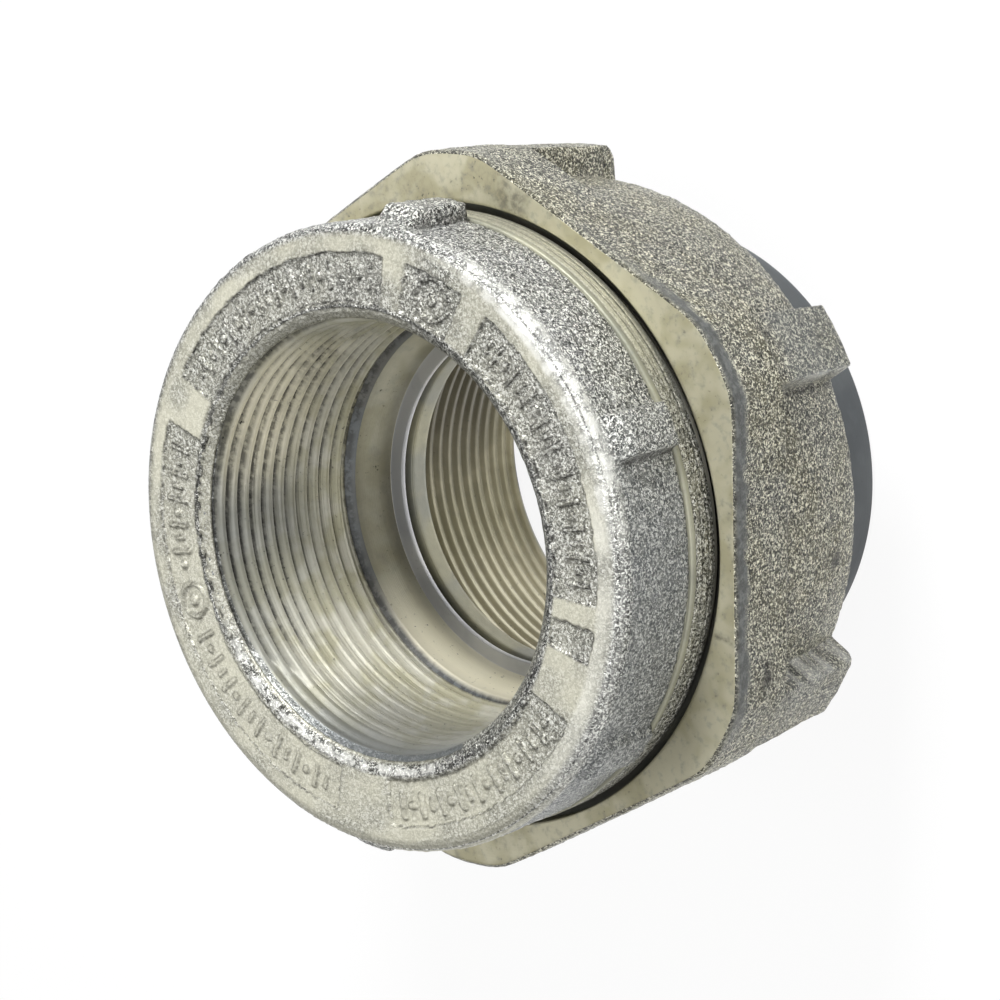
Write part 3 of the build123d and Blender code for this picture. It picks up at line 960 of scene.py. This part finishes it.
def build_nut(scene):
    """Build the ring nut: a cast hexagon running into a ribbed round body, with a turned face."""
    nut, cut, finish = scene.union_nut, scene.union_thread, scene.union_finish
    flat, corner, rear_radius = millimetres(nut, "flat", "corner", "dome")
    thread, hole, rib_width = millimetres(nut, "thread", "hole", "rib")
    top, crease, low = NUT_TOP, NUT_CREASE, NUT_LOW
    r, z, _, zones = profile(
        [
            (hole, low, 0.2, 4, "inside"),
            (flat - 2.0, low, 0.3, 1, "cast"),
            (flat, low + 0.7, 0, 22, "cast"),
            (flat, crease - 0.5, 0, 5, "cast"),
            (flat, crease + 0.9, 0, 15, "cast"),
            (flat, top - 1.4, 0, 4, "cast"),
            (flat, top - 0.5, 0, 2, "cast"),
            (flat - 0.4, top, 0.1, 8, "face"),
            (NUT_MOUTH, top, 0.2, 4, "face"),
            (NUT_MOUTH, top - 2.6, 0.1, 2, "inside"),
            (thread, top - 3.8, 0, 56, "inside"),
            (thread, 25.0, 0, 2, "inside"),
            (thread, 22.6, 0.2, 3, "inside"),
            (hole, 22.6, 0.3, 3, "inside"),
        ]
    )
    angle = spread_angles(NUT_COLUMNS, near_ribs)

    def grit(size, seed, along=z):
        """Grain of this size on the nut."""
        return grain(angle, along, NUT_GIRTH, NUT_SPAN, size, seed)

    # Hexagon, whose corners are turned to a round
    from_flat = np.abs((angle + SIDE_ANGLE / 2) % SIDE_ANGLE - SIDE_ANGLE / 2)
    from_corner = SIDE_ANGLE / 2 - from_flat
    hexagon = flat / np.cos(from_flat)
    soft = CORNER_SOFTNESS
    hexagon = -soft * np.logaddexp(-hexagon / soft, -(corner + 0.25) / soft)

    # Round rear body with its ribs, and the step to the hexagon
    fall = np.clip((crease - z) / (crease - low), 0, 1)
    dome = flat - 0.15 - (flat - 0.15 - rear_radius) * fall**2.6
    side = np.abs(hexagon * np.sin(from_corner))
    beside = hexagon * np.sin(angle % SIDE_ANGLE - SIDE_ANGLE / 2)
    rib_end = rise(z, 17.9, 19.9)
    rib = (corner - 0.9 * fall) * (0.965 + 0.035 * rib_end)
    narrow = rib_width / 2 - 0.75 - 0.35 * fall
    in_rib = (1 - rise(side, narrow - 0.45, narrow + 0.35)) * rise(z, 17.75, 18.4)
    lower = dome + (np.minimum(rib, hexagon + 0.2) - dome) * in_rib
    upper = rise(z, crease - 0.35, crease + 0.45)
    body = lower + (np.maximum(hexagon, lower * in_rib) - lower) * upper

    # Rough sides, and the flat face and rear
    outer = r > NUT_MOUTH + 0.15
    on_side = outer & (z < top - 0.02) & (z > low + 0.05)
    rough = 0.085 * grit(0.66, 31) + 0.05 * grit(0.34, 32)
    bead = bell(z, top - 0.55, 0.3)
    rough = rough * (1 - rise(z, top - 2.2, top - 1.2)) + 0.05 * bead * grit(0.6, 34)
    inset = flat - r
    share = np.clip((r - NUT_MOUTH) / (flat - 0.4 - NUT_MOUTH), 0, 1)
    at_face = NUT_MOUTH + (body - 0.4 - NUT_MOUTH) * share
    radius = np.where(on_side, body - inset * (inset < 1.9) + rough + 0.08 * grit(5, 33), r)
    radius = np.where(outer & (z >= top - 0.02), at_face, radius)
    bottom = outer & (z <= low + 0.05)
    radius = np.where(bottom, np.minimum(r, dome - 0.7), radius)

    # Union thread
    lead, deep = millimetres(cut, "joint_lead", "joint_depth")
    female = (np.abs(r - thread) < 0.01) & (z > 24.9)
    screw = groove(z, angle, lead, JOINT_FOOT)
    ends = window(z, 25.2, 26.2, 44.0, 44.9)
    radius = np.where(female, radius - screw * ends * deep, radius)

    # Dirt, smudges, the grey strip, and painted light and shade by the ribs
    on_face = outer & (z >= top - 0.02)
    edge = on_side * window(z, top - 0.5, top - 0.25, top - 0.12, top - 0.02)
    dirt = 0.55 * edge * rise(grit(1.1, 35), -0.6, 0.2)
    dirt = dirt + 0.35 * on_side * bell(z, crease, 0.6)
    dirt = dirt + on_face * 0.12 * rise(grit(6, 36, r), 0.2, 0.8)
    signed = wrap(np.degrees(angle))
    smear = bell(signed, -44, 3.0) + 1.4 * bell(signed, -134, 0.5)
    dirt = dirt + on_face * 0.5 * smear * rise(grit(1.3, 41, r), -0.8, 0.3)
    lee = window(-signed, *LEE_SIDE)
    torn = 0.5 * grit(2.2, 37) + 0.3 * grit(0.9, 38)
    strip = on_side * rise(z + torn, top - 2.7, top - 1.9) * (1 - rise(z, top - 0.4, top - 0.2))
    strip = strip * lee
    worn = 0.3 * on_side * bead + 0.7 * strip
    smudges = sum(
        bell((signed - at) * 0.8, 0, wide) * bell(z, level, tall)
        for at, level, wide, tall in SMUDGES
    )
    crack = bell(z - 0.4 * torn, 35, 0.28) * window(-signed, *CRACK_ENDS)
    dirt = dirt + on_side * (smudges + 0.9 * crack) + 0.6 * strip
    rear = on_side * window(z, 18.2, 19.0, 33, 36.5)
    # Painted shadow: a dark line beside each rib on the lee side.
    dirt = dirt + 0.7 * rear * bell(beside + narrow, -0.75, 0.4) * lee
    # Painted highlights: a bright edge on the ribs' lee side and a lighter lit side.
    ridge = bell(beside + narrow, 0.25, 0.3) * rise(grit(0.8, 39), -0.4, 0.3)
    lit = bell(beside - narrow, 0.1, 0.6) * window(-signed, *LIT_SIDE)
    speckle = rise(grit(0.7, 40), -0.5, 0.4)
    shine = rear * np.clip(0.35 * ridge * lee + 0.45 * lit * speckle, 0, 1)
    piece = revolve(
        "ring_nut_casting", radius, z, angle, zones,
        {
            "cast": cast_finish(
                "Cast nut zinc", finish, 0.33, 0.38, plain=tone(110, 110, 101),
                blush=tone(113, 110, 90), pits=1.0, glints=0.78, glint=tone(250, 247, 226),
            ),
            "face": turned_finish(
                "Nut face", finish, tone(190, 186, 162), tone(170, 165, 137), 0.5,
                patch=5.0, shade=0.32, specks=0.8,
            ),
            "inside": turned_finish(
                "Nut inside", finish, tone(168, 167, 156), tone(146, 147, 141), shade=0.15
            ),
        },
        dirt=np.clip(dirt, 0, 1), worn=worn, shine=shine,
        # Slate: the real grey strip, and painted shade on the ribs beside it.
        slate=np.clip(0.8 * strip + 0.3 * rear * in_rib * lee, 0, 1),
    )
    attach(piece, frame["nodes"]["ring_nut"]["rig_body"])
    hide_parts("ring_nut")


# The tail hub


TAIL_COLUMNS = 430
TAIL_THREAD_START = 3.4
TAIL_THREAD_DEPTH = 0.45
UNLIT_SIDE = (-60, -20, 40, 90)


def build_tail(scene):
    """Build the tail hub: a turned barrel with a flange, a nose and a pipe thread."""
    hub, cut, finish = scene.union_hub, scene.union_thread, scene.union_finish
    (mouth,) = millimetres(hub, "mouth")
    crest, pitch = millimetres(cut, "pipe_crest", "pipe_pitch")
    r, z, _, zones = profile(
        [
            (mouth, 0.0, 0.1, 5, "barrel"),
            (34.1, 0.0, 0.1, 2, "barrel"),
            (34.7, 0.6, 0.15, 14, "barrel"),
            (34.7, 23.0, 0, 3, "barrel"),
            (38.4, 23.0, 0.3, 5, "barrel"),
            (38.4, 27.3, 0.3, 3, "barrel"),
            (34.5, 27.3, 0.3, 6, "nose"),
            (26.0, 31.0, 0.25, 3, "nose"),
            (23.9, 31.0, 0.25, 5, "nose"),
            (23.9, 27.9, 0.15, 4, "nose"),
            (28.2, 27.3, 0, 2, "thread"),
            (crest - cut.pipe_taper * 26.6, 26.8, 0, 118, "thread"),
            (crest, 2.04, 0, 8, "mouth"),
        ]
    )
    angle = even_angles(TAIL_COLUMNS)
    bore = (r < 31) & (z < 27) & (z > 0.01)
    sunk = groove(z, angle, pitch, TAIL_THREAD_START, PIPE_CREST_SHARE)
    reach = window(z, 0.5, 1.8, 26.0, 26.9)
    radius = np.where(bore, pipe_wall(r, z, TAIL_THREAD_DEPTH * sunk * reach, cut), r)
    signed = wrap(np.degrees(angle))
    shade = 0.85 * bore * window(signed, *UNLIT_SIDE) * rise(z, 0, 12)
    # Painted shade: dark lines in the thread's grooves; a little darker from the nose up.
    dirt = np.where(bore, 0.26 * rise(sunk * reach, 0.7, 0.95), 0) + 0.1 * (z > 27)
    piece = revolve(
        "tail_hub_turned", radius, z, angle, zones,
        {
            "barrel": turned_finish(
                "Tail barrel", finish, tone(73, 77, 80), tone(84, 88, 90), 0.42,
                patch=14.0, shade=0.15,
            ),
            "nose": turned_finish(
                "Tail nose", finish, tone(150, 147, 124), tone(134, 134, 122), 0.45,
                shade=0.15, metallic=0.3,
            ),
            "thread": turned_finish(
                "Tail pipe thread", finish, tone(172, 166, 140), tone(150, 145, 120), 0.45,
                0.02, patch=6.0, shade=0.1, specks=0.6, metallic=0.3,
            ),
            "mouth": turned_finish("Tail mouth", finish, finish.turned, finish.slate, 0.36),
        },
        # Painted light: the bore's lower wall lighter.
        dirt=np.clip(dirt, 0, 1), shine=0.5 * bore * rise(signed, 78, 112), shade=shade,
    )
    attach(piece, frame["nodes"]["tail_hub"]["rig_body"])
    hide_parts("tail_hub")


# The stage


MIDDLE_HEIGHT = 0.034
FLOOR_REACH = 6.0
FLOOR_GLOW = 0.9
WORLD_LIGHT = 0.28
CAMERA_LENS, CAMERA_SENSOR = 93.111, 36
CAMERA_CLIP = (0.01, 20)
CAMERA_RIGHT = (-0.41167078, -0.65361579, -0.63506974)
CAMERA_UP = (0.90047995, -0.39896205, -0.17310444)
CAMERA_BACK = (-0.14022493, -0.64312961, 0.75280893)
CAMERA_PLACE = (-0.0485158, -0.2264303, 0.3044953)
REAR_GLOW_PLACE = (0, 0, 0.001)
SOFTBOXES = (
    ("Key softbox", (0.68, -0.51, 0.52), 0.6, 0.14, 4.3),
    ("Face softbox", (0.2, 0.64, 0.78), 0.7, 0.4, 1.2),
    ("Front softbox", (-0.52, -0.44, 0.77), 0.7, 0.4, 2.2),
)


def facing(way):
    """The turn that points a lamp's back along a direction."""
    return Vector(way).to_track_quat("Z", "Y").to_matrix().to_4x4()


def softbox(name, towards, distance, size, power):
    """A square area lamp that far out in a direction from the part's middle, facing it."""
    lamp = bpy.data.lights.new(name, "AREA")
    lamp.shape, lamp.size, lamp.energy = "SQUARE", size, power
    holder = bpy.data.objects.new(name, lamp)
    bpy.context.scene.collection.objects.link(holder)
    way = np.array(towards, float) / np.linalg.norm(towards)
    place = way * distance + np.array((0, 0, MIDDLE_HEIGHT))
    holder.matrix_world = Matrix.Translation(place) @ facing(way)
    return holder


def build_stage(scene):
    """Set up the camera, the pale floor and the soft light."""
    finish = scene.union_finish
    camera = bpy.data.objects.new("Camera", bpy.data.cameras.new("Camera"))
    scene.collection.objects.link(camera)
    camera.data.lens, camera.data.sensor_width = CAMERA_LENS, CAMERA_SENSOR
    camera.data.clip_start, camera.data.clip_end = CAMERA_CLIP
    camera.matrix_world = Matrix(
        [*zip(CAMERA_RIGHT, CAMERA_UP, CAMERA_BACK, CAMERA_PLACE), (0, 0, 0, 1)]
    )
    scene.camera = camera

    mesh = bpy.data.meshes.new("Floor")
    corners = ((-1, -1), (1, -1), (1, 1), (-1, 1))
    mesh.from_pydata(
        [(x * FLOOR_REACH, y * FLOOR_REACH, 0) for x, y in corners], [], [(0, 1, 2, 3)]
    )
    floor = bpy.data.objects.new("Floor", mesh)
    scene.collection.objects.link(floor)
    material = bpy.data.materials.new("Pale floor")
    n = empty_tree(material)
    path = n.tree.nodes.new("ShaderNodeLightPath")
    seen = n.math("MAXIMUM", path.outputs["Is Camera Ray"], path.outputs["Is Glossy Ray"])
    seen = n.math("MAXIMUM", seen, path.outputs["Is Transmission Ray"])
    matt = n.add("BsdfDiffuse", 0, {"Color": finish.floor})
    glow = n.add("Emission", 0, {"Color": (1, 1, 1), "Strength": 1.0})
    share = n.math("MULTIPLY", seen, FLOOR_GLOW)
    blend = n.add("MixShader", 0, {0: share, 1: matt, 2: glow})
    output = n.tree.nodes.new("ShaderNodeOutputMaterial")
    n.put(output.inputs["Surface"], blend)
    mesh.materials.append(material)

    world = bpy.data.worlds.new("Pale surroundings")
    scene.world = world
    n = empty_tree(world)
    path = n.tree.nodes.new("ShaderNodeLightPath")
    lit = n.add("Background", 0, {"Color": finish.floor, "Strength": WORLD_LIGHT})
    white = n.add("Background", 0, {"Color": (1, 1, 1), "Strength": 1.0})
    blend = n.add("MixShader", 0, {0: path.outputs["Is Camera Ray"], 1: lit, 2: white})
    output = n.tree.nodes.new("ShaderNodeOutputWorld")
    n.put(output.inputs["Surface"], blend)

    for box in SOFTBOXES:
        softbox(*box)
    lamp = softbox("Rear glow", (0, 0, -1), 0.033, 0.038, 0.009)
    lamp.matrix_world = Matrix.Translation(REAR_GLOW_PLACE) @ facing((0, 0, -1))
    lamp.visible_camera = False
    scene.view_settings.view_transform = "Standard"


# Add-on parts


class UNION_OT_head(bpy.types.Operator):
    """Build the front hub's cast head: the marked face, its rounded rim and the lugged barrel"""

    bl_idname = "union.head"
    bl_label = "Front hub head"

    def execute(self, context):
        build_head(context.scene)
        return {"FINISHED"}


class UNION_OT_core(bpy.types.Operator):
    """Build the front hub's turned core: pipe thread, throat, lip, joint thread and band"""

    bl_idname = "union.core"
    bl_label = "Front hub core"

    def execute(self, context):
        build_core(context.scene)
        return {"FINISHED"}


class UNION_OT_nut(bpy.types.Operator):
    """Build the ring nut: a cast hexagon running into a ribbed round body, with a turned face"""

    bl_idname = "union.nut"
    bl_label = "Ring nut"

    def execute(self, context):
        build_nut(context.scene)
        return {"FINISHED"}


class UNION_OT_tail(bpy.types.Operator):
    """Build the tail hub: a turned barrel with a flange, a nose and a pipe thread"""

    bl_idname = "union.tail"
    bl_label = "Tail hub"

    def execute(self, context):
        build_tail(context.scene)
        return {"FINISHED"}


class UNION_OT_stage(bpy.types.Operator):
    """Set up the camera, the pale floor and the soft light"""

    bl_idname = "union.stage"
    bl_label = "Stage"

    def execute(self, context):
        build_stage(context.scene)
        return {"FINISHED"}


class UNION_PT_panel(bpy.types.Panel):
    """Sizes, colours and builders of the conduit union"""

    bl_idname = "UNION_PT_panel"
    bl_label = "Conduit union"
    bl_space_type = "VIEW_3D"
    bl_region_type = "UI"
    bl_category = "Union"

    def draw(self, context):
        layout = self.layout
        for operator in OPERATORS:
            layout.operator(operator.bl_idname)
        for name in GROUP_TYPES:
            box = layout.box()
            owner = getattr(context.scene, name)
            for key in owner.__annotations__:
                box.prop(owner, key)


OPERATORS = (UNION_OT_head, UNION_OT_core, UNION_OT_nut, UNION_OT_tail, UNION_OT_stage)
GROUP_TYPES = {
    "union_thread": UnionThreadSizes,
    "union_hub": UnionHubSizes,
    "union_nut": UnionNutSizes,
    "union_finish": UnionFinish,
}


def register():
    for name, kind in GROUP_TYPES.items():
        bpy.utils.register_class(kind)
        setattr(bpy.types.Scene, name, PointerProperty(type=kind))
    for kind in (*OPERATORS, UNION_PT_panel):
        bpy.utils.register_class(kind)


def unregister():
    for kind in (UNION_PT_panel, *reversed(OPERATORS)):
        bpy.utils.unregister_class(kind)
    for name, kind in GROUP_TYPES.items():
        delattr(bpy.types.Scene, name)
        bpy.utils.unregister_class(kind)


def main():
    register()
    bpy.ops.union.head()
    bpy.ops.union.core()
    bpy.ops.union.nut()
    bpy.ops.union.tail()
    bpy.ops.union.stage()


if __name__ == "__main__":
    main()
